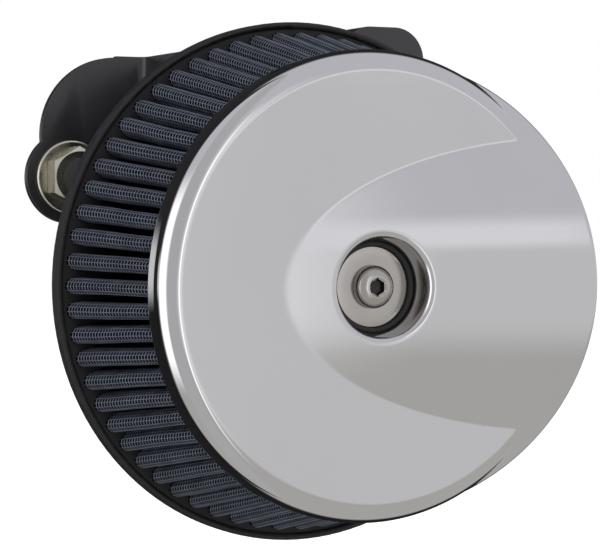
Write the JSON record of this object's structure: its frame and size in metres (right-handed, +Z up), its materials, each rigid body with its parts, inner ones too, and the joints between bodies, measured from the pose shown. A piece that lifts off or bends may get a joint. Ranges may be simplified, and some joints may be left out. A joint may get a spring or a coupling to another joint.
{
  "type": "motorcycle air cleaner",
  "caption": "Round motorcycle air cleaner with a chromed cover, a tapered pleated filter and a folded bracket with head breathers.",
  "frame": {"origin": "centre of the intake bore on the plane that meets the throttle body", "axes": "+Z up on the fitted machine, -Y out through the cover, +Y into the throttle body"},
  "size_m": [0.178, 0.1492, 0.178],
  "materials": {
    "chrome": "polished",
    "polished_steel": "polished",
    "zinc_steel": "zinc plated",
    "filter_gauze": "oiled cotton gauze with wire mesh",
    "moulded_black": "satin moulded urethane",
    "black_rubber": "matte",
    "black_coat": "satin powder coat",
    "plain_aluminium": "as turned",
    "gasket_sheet": "fibre sheet"
  },
  "bodies": {
    "root": {"cover": "chrome", "cover_screw": "polished_steel", "cover_washer": "chrome", "cover_seal": "black_rubber", "filter_base": "moulded_black", "filter_media": "filter_gauze", "filter_top_ring": "moulded_black", "filter_end_plate": "plain_aluminium", "filter_grommet": "black_rubber", "filter_nut": "zinc_steel", "filter_nut_washer": "zinc_steel", "center_post": "plain_aluminium", "post_spider": "plain_aluminium", "throttle_body_screws": "zinc_steel", "throttle_body_gasket": "gasket_sheet", "backplate": "black_coat", "support_bracket": "black_coat", "bracket_screws": "zinc_steel", "breather_bolt_left": "zinc_steel", "breather_washer_left": "zinc_steel", "breather_seal_left": "black_rubber", "breather_hose_left": "black_rubber", "breather_nipple_left": "plain_aluminium", "breather_bolt_right": "zinc_steel", "breather_washer_right": "zinc_steel", "breather_seal_right": "black_rubber", "breather_hose_right": "black_rubber", "breather_nipple_right": "plain_aluminium"}
  },
  "joints": []
}
